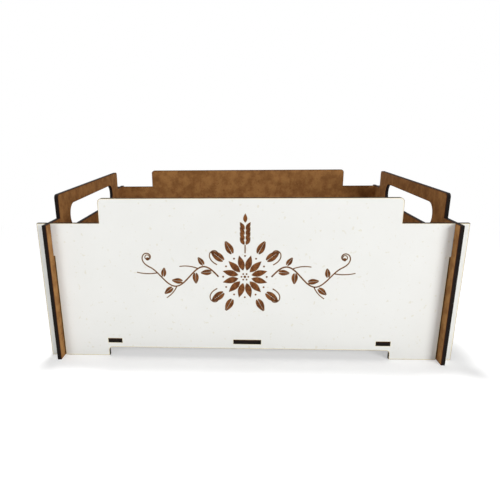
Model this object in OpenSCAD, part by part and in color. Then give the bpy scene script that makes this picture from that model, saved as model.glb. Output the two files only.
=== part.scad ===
// Small knock-down crate of laser-cut sheet: two long panels, two end panels and a floor.
// The long panels' slots open at the bottom and drop over the end panels, whose short slots open at the top.
// The floor's tabs pass through the long panels and finish flush with their outer faces.
// The crate stands on its feet at z = 0, centred on x = 0 and y = 0, with its long sides along X.

/* [Box] */
// Length inside the box, from end panel to end panel
inside_length = 280; // [200:1:400]
// Width inside the box, from front panel to back panel
inside_width = 200; // [160:1:300]
// Height of the panels at their shoulders, from the ground
shoulder_height = 103; // [85:1:160]
// How far the middle of each panel rises above its shoulders
middle_rise = 17.5; // [15:0.5:30]

/* [Sheet] */
// Thickness of the sheet that every panel is cut from
sheet = 3; // [2.5:0.1:5]
// Radius of the top corners of each raised middle
top_corner_radius = 3; // [0.5:0.5:12]

/* [Corner joints] */
// How far the long panels run on past the end panels
long_panel_overhang = 7; // [3:0.5:20]
// How far the end panels run on past the long panels
end_panel_overhang = 8; // [3:0.5:20]
// Height of the short slots in the end panels, down from the shoulders
short_slot_height = 24; // [10:1:50]
// Play of an end panel in the long panels' slots, left on its inner side
long_slot_play = 0.7; // [0.1:0.1:1.5]
// Play of a long panel in the end panels' slots, left on its outer side
short_slot_play = 0.3; // [0.1:0.1:1]

/* [Long panels] */
// Length of each shoulder of the front and back panels
long_shoulder = 45; // [30:1:80]

/* [End panels] */
// Length of each shoulder of the end panels
end_shoulder = 27; // [18:1:40]
// Height of the hand hole, which has full round ends
hand_hole_height = 18.5; // [12:0.5:24]
// Width of the band left above the hand hole
hand_hole_cover = 10.5; // [6:0.5:16]
// Width left at each end of the hand hole, out to the end of the raised middle
hand_hole_margin = 22; // [12:1:30]

/* [Feet] */
// Height of the feet, and of the arch between them
foot_height = 7; // [3:0.5:20]
// Length of each foot of the front and back panels
long_foot = 45; // [30:1:80]
// Length of each foot of the end panels
end_foot = 27; // [18:1:40]
// Radius in the top corners of the arch between the feet
arch_radius = 2.5; // [0.5:0.5:3]

/* [Floor] */
// Height of the web left between the arch and the floor
floor_web = 4; // [3:0.5:20]
// Width of the tab in the middle of each long side of the floor
middle_tab_width = 20; // [10:1:40]
// Width of the tabs towards the ends of the floor
outer_tab_width = 10; // [6:1:30]
// Distance of the outer tabs' centres from the inner faces of the end panels
outer_tab_inset = 40; // [20:1:60]
// Play on each side of a tab in its slot
tab_side_play = 0.2; // [0.1:0.05:0.5]
// Play above a tab in its slot
tab_head_play = 0.3; // [0.1:0.05:0.5]

/* [Hidden] */

// Segments of each round corner and hand hole end
$fn = 64;
// How far a cut runs on past an edge
run_out = 1;

white_face = "#e4e3de";
brown_face = "#96683a";

top_height = shoulder_height + middle_rise;
long_panel_length = inside_length + 2 * sheet + 2 * long_panel_overhang;
end_panel_length = inside_width + 2 * sheet + 2 * end_panel_overhang;
long_slot_height = shoulder_height - short_slot_height;
hand_hole_length = end_panel_length - 2 * end_shoulder - 2 * hand_hole_margin;
floor_height = foot_height + floor_web;
outer_tab_place = inside_length / 2 - outer_tab_inset;
// Place along the floor's long side and width of each tab
TABS = [
    [-outer_tab_place, outer_tab_width],
    [0, middle_tab_width],
    [outer_tab_place, outer_tab_width]
];

// Rectangle centred on x, standing on the x axis, with its top corners rounded
module round_topped(width, height, radius) {
    translate([-width / 2, 0]) square([width, height - radius]);
    translate([-width / 2 + radius, 0]) square([width - 2 * radius, height]);
    for (side = [-1, 1]) translate([side * (width / 2 - radius), height - radius]) circle(radius);
}

// Outline of a wall panel before its slots are cut: two shoulders, a raised middle and two feet
module wall_outline(length, shoulder, foot) {
    difference() {
        union() {
            translate([-length / 2, 0]) square([length, shoulder_height]);
            round_topped(length - 2 * shoulder, top_height, top_corner_radius);
        }
        translate([0, -run_out]) round_topped(length - 2 * foot, foot_height + run_out, arch_radius);
    }
}

// Slot open at the bottom, whose outer side bears on the outer face of an end panel
module long_slot() {
    translate([inside_length / 2 - long_slot_play, -run_out])
        square([sheet + long_slot_play, long_slot_height + run_out]);
}

// Slot open at the top, whose inner side bears on the inner face of a long panel
module short_slot() {
    translate([inside_width / 2, long_slot_height])
        square([sheet + short_slot_play, short_slot_height + run_out]);
}

// Shows a slot and its mirror image at the other end of the panel
module at_both_ends() {
    children();
    mirror([1, 0]) children();
}

// Slots for the floor's tabs, which rest on the slots' lower sides
module tab_slots() {
    for (tab = TABS)
        translate([tab[0] - tab[1] / 2 - tab_side_play, floor_height])
            square([tab[1] + 2 * tab_side_play, sheet + tab_head_play]);
}

module hand_hole() {
    end_radius = hand_hole_height / 2;
    end_place = hand_hole_length / 2 - end_radius;
    translate([0, top_height - hand_hole_cover - end_radius]) {
        square([2 * end_place, hand_hole_height], center = true);
        for (side = [-1, 1]) translate([side * end_place, 0]) circle(end_radius);
    }
}

// Front panel standing on the ground, with its inner face against the floor's front edge
module long_panel() {
    translate([0, -inside_width / 2, 0]) rotate([90, 0, 0]) linear_extrude(sheet) difference() {
        wall_outline(long_panel_length, long_shoulder, long_foot);
        at_both_ends() long_slot();
        tab_slots();
    }
}

// Right end panel standing on the ground, with its inner face against the floor's end
module end_panel() {
    translate([inside_length / 2, 0, 0]) rotate([90, 0, 90]) linear_extrude(sheet) difference() {
        wall_outline(end_panel_length, end_shoulder, end_foot);
        at_both_ends() short_slot();
        hand_hole();
    }
}

module front_panel() {
    color(white_face) long_panel();
}

module back_panel() {
    color(white_face) mirror([0, 1, 0]) long_panel();
}

module left_end_panel() {
    color(white_face) mirror([1, 0, 0]) end_panel();
}

module right_end_panel() {
    color(white_face) end_panel();
}

// Floor with tabs as long as the sheet is thick
module floor_panel() {
    color(brown_face) translate([0, 0, floor_height]) linear_extrude(sheet) {
        square([inside_length, inside_width], center = true);
        for (tab = TABS)
            translate([tab[0], 0]) square([tab[1], inside_width + 2 * sheet], center = true);
    }
}

front_panel();
back_panel();
left_end_panel();
right_end_panel();
floor_panel();
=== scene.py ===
import math

import bmesh
import bpy
from mathutils import Matrix, Vector, geometry, kdtree


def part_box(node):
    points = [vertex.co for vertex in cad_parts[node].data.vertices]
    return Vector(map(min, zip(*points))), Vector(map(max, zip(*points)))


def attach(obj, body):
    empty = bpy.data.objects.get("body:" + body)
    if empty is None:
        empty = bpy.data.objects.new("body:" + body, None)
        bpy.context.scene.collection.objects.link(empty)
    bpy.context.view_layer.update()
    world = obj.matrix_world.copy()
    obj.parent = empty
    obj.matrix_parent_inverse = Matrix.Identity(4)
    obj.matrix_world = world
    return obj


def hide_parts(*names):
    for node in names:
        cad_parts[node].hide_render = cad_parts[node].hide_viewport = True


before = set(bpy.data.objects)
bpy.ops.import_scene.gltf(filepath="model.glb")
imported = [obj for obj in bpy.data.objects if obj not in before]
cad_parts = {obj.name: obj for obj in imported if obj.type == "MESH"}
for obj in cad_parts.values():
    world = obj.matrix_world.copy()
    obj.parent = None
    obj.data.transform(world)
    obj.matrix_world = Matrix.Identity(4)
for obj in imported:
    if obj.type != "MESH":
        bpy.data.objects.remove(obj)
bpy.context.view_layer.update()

# The floor board
# A sheet of 3 mm hardboard, lacquered white on its underside and left bare brown on top. A laser cuts
# it out, which chars every edge, and its six tabs push through slots in the long walls until they are
# flush with the outside.
MM = 0.001
ARRIS = 0.15  # the beam rounds each edge over by this much, in millimetres
HALO_RINGS = (0.35, 0.65, 1.0, 1.6, 2.6)  # points lie this far in from a cut, for the scorch, and on the white side its painted edge highlight, to fade along
WHITE_SIDE, CUT_EDGE, BARE_SIDE, CARVING = range(4)
CARVED_DEPTH = 0.3
CARVING_RINGS = (-0.45, 0.22)  # and this far to each side of a carved outline
NO_CARVING_NEAR = 99  # stands for the distance to a carving on a board that has none
CUT_STEP, CARVING_STEP = 0.25, 0.15  # distances are measured to places this far apart along an outline
SHARP_ANGLE = 50  # degrees


def area_in(outline):
    """The area that an outline goes round, positive where it turns left."""
    pairs = zip(outline, outline[1:] + outline[:1])
    return sum(here.x * ahead.y - ahead.x * here.y for here, ahead in pairs) / 2


def outlines_of(node, through, side):
    """The outlines of one flat side in millimetres: the outer one, then the holes, board on their left."""
    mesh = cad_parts[node].data
    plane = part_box(node)[side > 0][through]
    rim = set()
    for face in mesh.polygons:
        corners = [mesh.vertices[index].co for index in face.vertices]
        if max(abs(corner[through] - plane) for corner in corners) > 1e-6:
            continue
        axes = [axis for axis in range(3) if axis != through]
        spots = [tuple(round(corner[axis] / MM, 3) for axis in axes) for corner in corners]
        for pair in zip(spots, spots[1:] + spots[:1]):
            if pair[::-1] in rim:
                rim.remove(pair[::-1])
            else:
                rim.add(pair)
    ahead = dict(rim)
    outlines = []
    while ahead:
        outline = [min(ahead)]
        while outline[-1] in ahead:
            outline.append(ahead.pop(outline[-1]))
        outlines.append([Vector(spot) for spot in outline[:-1]])
    outlines.sort(key=lambda outline: -abs(area_in(outline)))
    if area_in(outlines[0]) < 0:
        outlines = [outline[::-1] for outline in outlines]
    return outlines


def moved_in(outline, gap):
    """An outline moved to its left by gap."""
    moved = []
    for behind, here, ahead in zip(outline[-1:] + outline[:-1], outline, outline[1:] + outline[:1]):
        before, after = (here - behind).normalized(), (ahead - here).normalized()
        left = Vector((-before.y - after.y, before.x + after.x))
        moved.append(here + left * gap * min(2 / left.length_squared, 1.5))
    return moved


def filled(rims, rings, shapes):
    """Triangles that fill a flat side round its holes, each with whether it lies in one of the shapes."""
    spots, edges, faces = [], [], []
    for outline in [*rims, *shapes, *rings]:
        order = list(range(len(spots), len(spots) + len(outline)))
        spots.extend(outline)
        if len(faces) < len(rims) + len(shapes):
            faces.append(order if area_in(outline) > 0 else order[::-1])
        else:
            edges.extend(zip(order, order[1:] + order[:1]))
    made = geometry.delaunay_2d_cdt(spots, edges, faces, 0, 1e-5, True)
    triangles = []
    for triangle, inside in zip(made[2], made[5]):
        if 0 in inside and not any(0 < face < len(rims) for face in inside):
            triangles.append((triangle, any(face >= len(rims) for face in inside)))
    return made[0], triangles


def nearest_on(outlines, step):
    """A finder for the nearest place on any of the outlines."""
    places = []
    for outline in outlines:
        for here, ahead in zip(outline, outline[1:] + outline[:1]):
            count = math.ceil((ahead - here).length / step)
            places.extend(here.lerp(ahead, part / count).to_3d() for part in range(count))
    finder = kdtree.KDTree(len(places))
    for index, place in enumerate(places):
        finder.insert(place, index)
    finder.balance()
    return finder


def cut_board(name, node, through, white, finishes, carved=()):
    """A board on its CAD node's outlines: two flat sides, charred edges with round arrises, any carving."""
    low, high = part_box(node)
    sheet = (high[through] - low[through]) / MM
    white_face = (high if white > 0 else low)[through]
    across, up = [axis for axis in range(3) if axis != through]
    rims = outlines_of(node, through, white)
    shell = bmesh.new()

    def point(spot, depth):
        place = Vector((0, 0, 0))
        place[across] = spot.x * MM
        place[up] = spot.y * MM
        place[through] = white_face - white * depth * MM
        return shell.verts.new(place)

    def face(corners, finish):
        made = shell.faces.new(corners)
        made.material_index = finish
        made.smooth = True

    rings = [moved_in(rim, gap) for rim in rims for gap in HALO_RINGS]
    rings_and_halos = rings + [moved_in(shape, gap) for shape in carved for gap in CARVING_RINGS]
    face_rims = [moved_in(rim, ARRIS) for rim in rims]
    spots, triangles = filled(face_rims, rings_and_halos, carved)
    top = [point(spot, 0) for spot in spots]
    in_carving = {index for corners, is_carved in triangles if is_carved for index in corners}
    sunk = {index: point(spots[index], CARVED_DEPTH) for index in sorted(in_carving)}
    shores = set()
    for corners, is_carved in triangles:
        if not is_carved:
            face([top[index] for index in corners], WHITE_SIDE)
            continue
        face([sunk[index] for index in corners], CARVING)
        for pair in zip(corners, corners[1:] + corners[:1]):
            if pair[::-1] in shores:
                shores.remove(pair[::-1])
            else:
                shores.add(pair)
    for here, ahead in sorted(shores):
        face((top[here], top[ahead], sunk[ahead], sunk[here]), CARVING)
    spots, triangles = filled(face_rims, rings, ())
    back = [point(spot, sheet) for spot in spots]
    for corners, _ in triangles:
        face([back[index] for index in corners], BARE_SIDE)

    turns = [math.radians(angle) for angle in (0, 45, 90)]
    bend = [(ARRIS * (1 - math.sin(turn)), ARRIS * (1 - math.cos(turn))) for turn in turns]
    profile = bend + [(gap, sheet - depth) for gap, depth in reversed(bend)]
    for rim in rims:
        levels = [[point(spot, depth) for spot in moved_in(rim, gap)] for gap, depth in profile]
        for upper, lower in zip(levels, levels[1:]):
            for here in range(len(rim)):
                ahead = (here + 1) % len(rim)
                face((upper[here], upper[ahead], lower[ahead], lower[here]), CUT_EDGE)
    bmesh.ops.remove_doubles(shell, verts=shell.verts, dist=2e-4 * MM)
    loose = [vertex for vertex in shell.verts if not vertex.link_faces]
    bmesh.ops.delete(shell, geom=loose, context="VERTS")
    bmesh.ops.recalc_face_normals(shell, faces=shell.faces)
    for edge in shell.edges:
        sides = {face.material_index for face in edge.link_faces}
        edge.smooth = len(sides) == 1 and edge.calc_face_angle(0) < math.radians(SHARP_ANGLE)

    cuts = nearest_on(rims, CUT_STEP)
    carvings = nearest_on(carved, CARVING_STEP) if carved else None
    to_cut = shell.verts.layers.float.new("to_cut")
    to_carving = shell.verts.layers.float.new("to_carving")
    depth = shell.verts.layers.float.new("depth")
    for vertex in shell.verts:
        spot = Vector((vertex.co[across], vertex.co[up], 0)) / MM
        vertex[to_cut] = cuts.find(spot)[2]
        vertex[to_carving] = carvings.find(spot)[2] if carved else NO_CARVING_NEAR
        vertex[depth] = (white_face - vertex.co[through]) * white / MM
    mesh = bpy.data.meshes.new(name)
    shell.to_mesh(mesh)
    shell.free()
    for finish in finishes:
        mesh.materials.append(finish)
    board = bpy.data.objects.new(name, mesh)
    bpy.context.scene.collection.objects.link(board)
    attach(board, "root")
    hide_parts(node)
    return board


def math_node(operation, turned=False):
    """The method behind one of Python's signs, which lays a Math node."""

    def lay(value, other):
        first, second = (other, value) if turned else (value, other)
        return value.nodes.add("ShaderNodeMath", {"operation": operation}, {0: first, 1: second})

    return lay


class Value:
    """A socket that gives a number or a colour. Arithmetic on a number lays Math nodes."""

    def __init__(self, nodes, socket):
        self.nodes = nodes
        self.socket = socket

    __add__ = math_node("ADD")
    __radd__ = math_node("ADD", turned=True)
    __sub__ = math_node("SUBTRACT")
    __rsub__ = math_node("SUBTRACT", turned=True)
    __mul__ = math_node("MULTIPLY")
    __rmul__ = math_node("MULTIPLY", turned=True)


class Nodes:
    """The nodes of a material or of the world."""

    def __init__(self, owner):
        owner.use_nodes = True
        self.tree = owner.node_tree
        self.tree.nodes.clear()

    def add(self, kind, settings=None, values=None, output=0):
        """A new node with its settings, then its sockets' values or links. Gives the named output."""
        node = self.tree.nodes.new(kind)
        for name, setting in (settings or {}).items():
            setattr(node, name, setting)
        for name, value in (values or {}).items():
            if isinstance(value, Value):
                self.tree.links.new(value.socket, node.inputs[name])
            else:
                node.inputs[name].default_value = value
        return Value(self, node.outputs[output]) if node.outputs else None

    def attribute(self, name):
        return self.add("ShaderNodeAttribute", {"attribute_name": name}, output="Fac")

    def ramp(self, value, start, end):
        """0 up to start, then smoothly to 1 at end. With start above end it runs the other way."""
        sockets = {"Value": value, "From Min": start, "From Max": end}
        return self.add("ShaderNodeMapRange", {"interpolation_type": "SMOOTHSTEP"}, sockets)

    def grain(self, size, detail=2.0, coarse=0.5, stretch=(1, 1, 1), seed=0.0):
        """A soft random pattern of about that size in millimetres, from 0 to 1 round a mean of a half."""
        place = self.add("ShaderNodeTexCoord", output="Object")
        place = self.add("ShaderNodeVectorMath", {"operation": "MULTIPLY"}, {0: place, 1: stretch})
        place = self.add("ShaderNodeVectorMath", {"operation": "ADD"}, {0: place, 1: (seed, seed, seed)})
        sockets = {"Vector": place, "Scale": 1 / (size * MM), "Detail": detail, "Roughness": coarse}
        return self.add("ShaderNodeTexNoise", {}, sockets)

    def tinted(self, colour, share, tint):
        """The colour with that share of the tint over it."""
        return self.add("ShaderNodeMix", {"data_type": "RGBA"}, {0: share, 6: colour, 7: tint}, output=2)

    def surface(self, colour, roughness, height, relief, values=None):
        """The finish's shader, with a relief in millimetres that follows height."""
        bump = self.add("ShaderNodeBump", {}, {"Height": height, "Distance": relief * MM})
        sockets = {"Base Color": colour, "Roughness": roughness, "Normal": bump, **(values or {})}
        shader = self.add("ShaderNodeBsdfPrincipled", {}, sockets)
        self.add("ShaderNodeOutputMaterial", {}, {"Surface": shader})


def rgb(red, green, blue):
    """A colour from the numbers 0 to 255 in which colours are usually read off."""
    parts = [part / 255 for part in (red, green, blue)]
    return (*[((part + 0.055) / 1.055) ** 2.4 if part > 0.04 else part / 12.92 for part in parts], 1.0)


def white_lacquer(name):
    """Satin white lacquer on hardboard, faintly flecked, with a cream band along the laser's cuts: a scorch
    tint painted lighter than the lacquer as a highlight on the edge.
    """
    material = bpy.data.materials.new(name)
    nodes = Nodes(material)
    broad = nodes.grain(28, detail=3)
    flecks = nodes.ramp(nodes.grain(2.6, detail=1, seed=3), 0.66, 0.78)
    colour = nodes.tinted(rgb(229, 229, 226), broad, rgb(223, 223, 219))
    colour = nodes.tinted(colour, flecks * 0.4, rgb(206, 200, 176))
    to_cut = nodes.attribute("to_cut")
    waver = nodes.grain(7, detail=2, seed=5)
    # The cream band along each cut is a yellow scorch tint, and its lightness over the lacquer is a painted
    # highlight on the edge.
    scorch_and_highlight = nodes.ramp(to_cut, 0.75 + waver * 0.5, 0.3)
    colour = nodes.tinted(colour, scorch_and_highlight * (0.45 + waver * 0.5), rgb(240, 226, 184))
    colour = nodes.tinted(colour, nodes.ramp(to_cut, 0.32, 0.16) * 0.8, rgb(120, 82, 48))
    to_carving = nodes.attribute("to_carving")
    colour = nodes.tinted(colour, nodes.ramp(to_carving, 0.45, 0.05) * 0.5, rgb(214, 190, 150))
    colour = nodes.tinted(colour, nodes.ramp(to_carving, 0.1, 0.0) * 0.7, rgb(110, 66, 34))
    peel = nodes.grain(1.1, detail=2, seed=7)
    nodes.surface(colour, 0.42 + broad * 0.12, peel, 0.012)
    return material


def bare_hardboard(name, seed):
    """The brown side of the board: pressed wood fibre, mottled light and dark, singed along the cuts."""
    material = bpy.data.materials.new(name)
    nodes = Nodes(material)
    clouds = nodes.grain(9, detail=4, coarse=0.6, seed=seed)
    flakes = nodes.grain(2.2, detail=3, coarse=0.6, seed=seed + 4)
    fibres = nodes.grain(0.5, detail=2, seed=seed + 8)
    colour = nodes.tinted(rgb(134, 92, 50), nodes.ramp(clouds, 0.34, 0.66), rgb(166, 120, 70))
    colour = nodes.tinted(colour, nodes.ramp(flakes, 0.56, 0.74) * 0.55, rgb(176, 126, 72))
    colour = nodes.tinted(colour, nodes.ramp(flakes, 0.44, 0.28) * 0.55, rgb(110, 72, 36))
    colour = nodes.tinted(colour, nodes.ramp(fibres, 0.55, 0.75) * 0.25, rgb(96, 62, 32))
    to_cut = nodes.attribute("to_cut")
    waver = nodes.grain(6, detail=2, seed=seed + 5)
    colour = nodes.tinted(colour, nodes.ramp(to_cut, 0.9 + waver * 0.8, 0.25) * 0.45, rgb(120, 70, 26))
    colour = nodes.tinted(colour, nodes.ramp(to_cut, 0.34, 0.16) * 0.8, rgb(52, 28, 14))
    height = flakes * 0.6 + fibres * 0.4
    nodes.surface(colour, 0.72 + fibres * 0.15, height, 0.05, {"Specular IOR Level": 0.15})
    return material


def charred_edge(name, stretch):
    """The laser's cut: black char with fine streaks across the thickness, browner towards the bare side."""
    material = bpy.data.materials.new(name)
    nodes = Nodes(material)
    streaks = nodes.grain(0.35, detail=3, coarse=0.65, stretch=stretch, seed=2)
    soot = nodes.grain(5, detail=2, seed=6)
    depth = nodes.attribute("depth")
    colour = nodes.tinted(rgb(15, 11, 9), nodes.ramp(streaks, 0.5, 0.72) * 0.8, rgb(48, 30, 20))
    brown = nodes.ramp(depth, SHEET - BROWNED_DEPTH, SHEET) * (0.35 + soot * 0.5)
    colour = nodes.tinted(colour, brown, rgb(62, 32, 18))
    nodes.surface(colour, 0.6 + streaks * 0.3, streaks, 0.06, {"Specular IOR Level": 0.1})
    return material


floor_low, floor_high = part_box("floor_panel")
SHEET = (floor_high[2] - floor_low[2]) / MM
BROWNED_DEPTH = 0.9  # the char is browner over this much of the thickness, next to the bare side
STREAKED = 0.05  # a streak runs this much slower across the thickness than along the edge
lacquer = white_lacquer("white_lacquer")
floor_bare = bare_hardboard("bare_hardboard_floor", seed=21)
floor_char = charred_edge("charred_edge_floor", (1, 1, STREAKED))
floor = cut_board("floor_board", "floor_panel", 2, -1, [lacquer, floor_char, floor_bare])

# The long walls
# Two boards of the same sheet, white side out, raised in the middle and cut away below to leave two
# feet. The floor's tabs sit in three slots near their lower edge, and a slot near each end, open at
# the bottom, laps over the end wall.
long_char = charred_edge("charred_edge_long", (1, STREAKED, 1))
back_bare = bare_hardboard("bare_hardboard_back", seed=1)
back = cut_board("back_board", "back_panel", 1, 1, [lacquer, long_char, back_bare])

# The front wall's carving
# The same laser, run fast and light, takes the lacquer off and browns the fibre under it: a spray of
# folk flowers with a daisy in the middle, an ear of corn above it and a vine to each side.
SPRAY_CENTRE = Vector((-2.0, 64.0))  # millimetres, across and up the wall
LINE = 0.75


def lens(base, heading, length, width, steps=10):
    """A pointed oval, from its base in the heading's direction, widest just before its middle."""
    forward = Vector((math.cos(heading), math.sin(heading)))
    left = Vector((-forward.y, forward.x))
    bulge = [(step / steps, math.sin(math.pi * (step / steps) ** 0.85)) for step in range(steps + 1)]
    back_down = bulge[-2:0:-1]
    right_side = [base + forward * part * length - left * swell * width / 2 for part, swell in bulge]
    left_side = [base + forward * part * length + left * swell * width / 2 for part, swell in back_down]
    return right_side + left_side


def leaf(base, heading, length, width, vein=0.55, steps=12):
    """A leaf in two halves, with its vein left white between them."""
    forward = Vector((math.cos(heading), math.sin(heading)))
    left = Vector((-forward.y, forward.x))
    halves = []
    for side in (-1, 1):
        inner, outer = [], []
        for step in range(1, steps):
            part = step / steps
            bulge = math.sin(math.pi * part ** 0.8) * width / 2
            gap = vein / 2 * (1 - part * 0.6)
            if bulge > gap + 0.15:
                inner.append(base + forward * part * length + left * side * gap)
                outer.append(base + forward * part * length + left * side * bulge)
        halves.append(inner + outer[::-1] if side > 0 else outer + inner[::-1])
    return halves


def line(path, width=LINE, tip=0.45):
    """A drawn line that thins to its tip."""
    right_side, left_side = [], []
    for index, spot in enumerate(path):
        part = index / (len(path) - 1)
        ahead = path[min(index + 1, len(path) - 1)] - path[max(index - 1, 0)]
        side = Vector((-ahead.y, ahead.x)).normalized() * (width + (tip - width) * part) / 2
        right_side.append(spot - side)
        left_side.append(spot + side)
    return right_side + left_side[::-1]


def curl(start, heading, length, bend, tighten, steps=36):
    """A path whose bend, in radians a millimetre, grows as it goes."""
    path = [start.copy()]
    for step in range(steps):
        gone = length * (step + 0.5) / steps
        turned = heading + bend * gone + tighten * gone * gone / 2
        path.append(path[-1] + Vector((math.cos(turned), math.sin(turned))) * length / steps)
    return path


def berry(centre, radius, steps=18):
    turns = [2 * math.pi * step / steps for step in range(steps)]
    return [centre + Vector((math.cos(turn), math.sin(turn))) * radius for turn in turns]


def daisy(centre):
    """The flower in the middle: a ring of solid petals round an eye of seeds."""
    shapes = [berry(centre, 0.9)]
    for seed in range(6):
        turn = math.radians(60 * seed)
        shapes.append(berry(centre + Vector((math.cos(turn), math.sin(turn))) * 2.4, 0.6, 12))
    for petal in range(12):
        turn = math.radians(30 * petal + 15)
        out = Vector((math.cos(turn), math.sin(turn)))
        shapes.append(lens(centre + out * 4.9, turn, 11.5, 4.5))
        between = turn + math.radians(15)
        shapes.append(berry(centre + Vector((math.cos(between), math.sin(between))) * 15.6, 0.62, 12))
    return shapes


def corn_ear(foot, pairs, spacing):
    """An ear of corn that stands on its stalk, grain by grain."""
    shapes = [line([foot + Vector((0, part * 1.5)) for part in range(5)], LINE, LINE)]
    for pair in range(pairs):
        seat = foot + Vector((0, 6.2 + pair * spacing))
        for side in (-1, 1):
            shapes.append(lens(seat + Vector((side * 0.55, 0)), math.radians(90 - side * 30), 6.2, 2.7))
    shapes.append(lens(foot + Vector((0, 7.6 + pairs * spacing)), math.radians(90), 6.4, 2.8))
    return shapes


def vine(part):
    """The vine's path to the right of the daisy, for part from 0 to 1."""
    return Vector((19 + 49 * part, 7.5 * math.sin(2.35 * math.pi * part)))


def vine_heading(part):
    ahead = vine(part + 0.01) - vine(part - 0.01)
    return math.atan2(ahead.y, ahead.x)


def right_hand_sprays():
    """The vine, its leaves, flowers and tendrils, and the leaves that fan out beside the daisy."""
    shapes = [line([vine(step / 40) for step in range(41)], 1.0, 0.8)]
    end = curl(vine(1), vine_heading(1), 33, 0.02, 0.021)
    shapes += [line(end, 0.8, 0.5), berry(end[-1], 1.15)]
    leaves = ((0.07, -1, 9), (0.2, 1, 8), (0.34, -1, 9.5), (0.5, 1, 9), (0.66, -1, 9), (0.82, 1, 8))
    for part, side, length in leaves:
        heading = vine_heading(part) + side * math.radians(50)
        base = vine(part) + Vector((math.cos(heading), math.sin(heading))) * 0.9
        shapes += leaf(base, heading, length, length * 0.46)
    for part, side, reach, bend in ((0.3, 1, 13.5, 0.045), (0.62, -1, 12, -0.05), (0.9, -1, 15, -0.03)):
        heading = vine_heading(part) + side * math.radians(58)
        stalk = curl(vine(part), heading, reach, -bend, 0)
        shapes.append(line(stalk, 0.7, 0.55))
    for angle, length in ((38, 13), (62, 12), (-38, 13), (-62, 12)):
        heading = math.radians(angle)
        out = Vector((math.cos(heading), math.sin(heading)))
        shapes += leaf(out * 18.5, heading, length, length * 0.44)
    for side in (-1, 1):
        tendril = curl(Vector((20, 9 * side)), math.radians(30 * side), 26, 0.02 * side, 0.022 * side)
        shapes += [line(tendril, 0.7, 0.5), berry(tendril[-1], 0.95)]
    return shapes


def spray():
    """Every carved shape, in millimetres on the wall."""
    right = right_hand_sprays()
    left = [[Vector((-spot.x, spot.y)) for spot in reversed(shape)] for shape in right]
    middle = daisy(Vector((0, 0))) + corn_ear(Vector((0, 17.5)), 4, 3.6)
    return [[spot + SPRAY_CENTRE for spot in shape] for shape in [*middle, *left, *right]]


def carved_fibre(name):
    """Hardboard that the beam has browned, with the fine lines of its passes."""
    material = bpy.data.materials.new(name)
    nodes = Nodes(material)
    passes = nodes.grain(0.22, detail=1, stretch=(0.15, 1, 1), seed=9)
    blotches = nodes.grain(2.0, detail=2, seed=11)
    colour = nodes.tinted(rgb(92, 52, 26), nodes.ramp(blotches, 0.35, 0.65), rgb(128, 78, 40))
    colour = nodes.tinted(colour, nodes.ramp(passes, 0.5, 0.7) * 0.35, rgb(66, 36, 18))
    rim = nodes.ramp(nodes.attribute("to_carving"), 0.2, 0.0)
    colour = nodes.tinted(colour, rim * 0.7, rgb(54, 28, 13))
    nodes.surface(colour, 0.8, passes, 0.04, {"Specular IOR Level": 0.15})
    return material


front_bare = bare_hardboard("bare_hardboard_front", seed=14)
front_finishes = [lacquer, long_char, front_bare, carved_fibre("carved_fibre")]
front = cut_board("front_board", "front_panel", 1, -1, front_finishes, spray())

# The end walls
# Two more boards, white side out, each with a round-ended hand hole under its raised middle. Their
# slots, open at the top, drop into the long walls' slots, so that both boards stand past the corner.
end_char = charred_edge("charred_edge_end", (STREAKED, 1, 1))
for side, hand, seed in ((-1, "left", 31), (1, "right", 41)):
    bare = bare_hardboard(f"bare_hardboard_{hand}", seed)
    end = cut_board(f"{hand}_end_board", f"{hand}_end_panel", 0, side, [lacquer, end_char, bare])

# The table under the crate and the light round it
# A plain white table that fades into the white room. Away from the crate it is seen as white, and
# near it as a lit surface that keeps the crate's shadow.
TABLE_REACH = 3.0
table_shell = bmesh.new()
bmesh.ops.create_circle(table_shell, cap_ends=True, segments=64, radius=TABLE_REACH)
table_mesh = bpy.data.meshes.new("table")
table_shell.to_mesh(table_mesh)
table_shell.free()
table = bpy.data.objects.new("table", table_mesh)
bpy.context.scene.collection.objects.link(table)


def seen_directly(nodes):
    """1 for the camera and for what it sees in gloss or through glass, 0 for light that goes on."""
    kinds = ("Camera", "Glossy", "Transmission")
    rays = [nodes.add("ShaderNodeLightPath", output=f"Is {kind} Ray") for kind in kinds]
    settings = {"operation": "ADD", "use_clamp": True}
    return nodes.add("ShaderNodeMath", settings, {0: rays[0] + rays[1], 1: rays[2]})


TABLE_WHITE = 0.68
TABLE_GLOW = 0.42
FADE_START, FADE_END = 0.3, 0.55  # metres from the middle of the crate
table_finish = bpy.data.materials.new("white_table")
table_mesh.materials.append(table_finish)
nodes = Nodes(table_finish)
seen = seen_directly(nodes)
place = nodes.add("ShaderNodeTexCoord", output="Object")
away = nodes.add("ShaderNodeVectorMath", {"operation": "LENGTH"}, {0: place}, "Value")
far = nodes.ramp(away, FADE_START, FADE_END)
glow = seen * (TABLE_GLOW + far * (1 - TABLE_GLOW))
paint = TABLE_WHITE * (1 - seen * far)
table_sockets = {"Base Color": paint, "Roughness": 0.9, "Specular IOR Level": 0.0}
table_sockets |= {"Emission Color": glow, "Emission Strength": 1.0}
shader = nodes.add("ShaderNodeBsdfPrincipled", {}, table_sockets)
nodes.add("ShaderNodeOutputMaterial", {}, {"Surface": shader})

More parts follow.
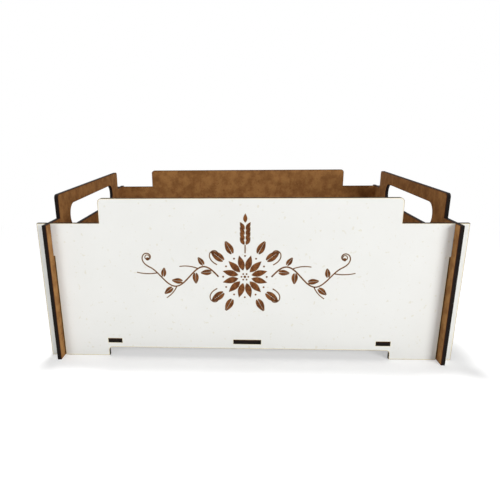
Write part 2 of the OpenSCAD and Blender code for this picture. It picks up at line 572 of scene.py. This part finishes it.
ROOM_LIGHT = 0.2
room = bpy.data.worlds.new("white_room")
bpy.context.scene.world = room
nodes = Nodes(room)
seen = seen_directly(nodes)
room_colour = ROOM_LIGHT + seen * (1 - ROOM_LIGHT)
backdrop = nodes.add("ShaderNodeBackground", {}, {"Color": room_colour, "Strength": 1.0})
nodes.add("ShaderNodeOutputWorld", {}, {"Surface": backdrop})


def softbox(name, place, aim, size, power):
    """A square soft light that points at aim."""
    lamp = bpy.data.lights.new(name, "AREA")
    lamp.shape = "SQUARE"
    lamp.size = size
    lamp.energy = power
    box = bpy.data.objects.new(name, lamp)
    box.location = place
    box.rotation_euler = (Vector(aim) - Vector(place)).to_track_quat("-Z", "Y").to_euler()
    box.visible_camera = False
    bpy.context.scene.collection.objects.link(box)


softbox("overhead_softbox", (-0.1, 0.16, 1.3), (0, 0, 0.05), 0.18, 11.6)
softbox("right_softbox", (0.85, -1.05, 0.42), (0, 0, 0.08), 0.6, 11.6)
softbox("left_reflector", (-0.55, -0.75, 0.16), (-0.1, -0.1, 0.06), 0.35, 2.0)

# The camera
# It stands close before the front wall and looks down on it a little, as the picture was taken. The
# picture was cut out of a wider one, which the lens shift stands for.
CAMERA_PLACE = Vector((-3.0, -424.4, 168.8)) * MM
CAMERA_YAW, CAMERA_DIP, CAMERA_ROLL = 3.20, 16.99, 0.65
PICTURE_SIDE = 500
FOCAL_PIXELS = 470.5
MIDDLE_PIXEL = (218.4, 268.1)
camera_data = bpy.data.cameras.new("camera")
camera = bpy.data.objects.new("camera", camera_data)
bpy.context.scene.collection.objects.link(camera)
camera_data.sensor_width = 36
camera_data.lens = FOCAL_PIXELS / PICTURE_SIDE * camera_data.sensor_width
camera_data.shift_x = 0.5 - MIDDLE_PIXEL[0] / PICTURE_SIDE
camera_data.shift_y = MIDDLE_PIXEL[1] / PICTURE_SIDE - 0.5
turn = Matrix.Rotation(math.radians(CAMERA_YAW), 4, "Z")
turn @= Matrix.Rotation(math.radians(-CAMERA_DIP), 4, "X")
turn @= Matrix.Rotation(math.radians(CAMERA_ROLL), 4, "Y")
turn @= Matrix.Rotation(math.radians(90), 4, "X")
camera.location = CAMERA_PLACE
camera.rotation_euler = turn.to_euler()
bpy.context.scene.camera = camera
bpy.context.scene.view_settings.view_transform = "Standard"
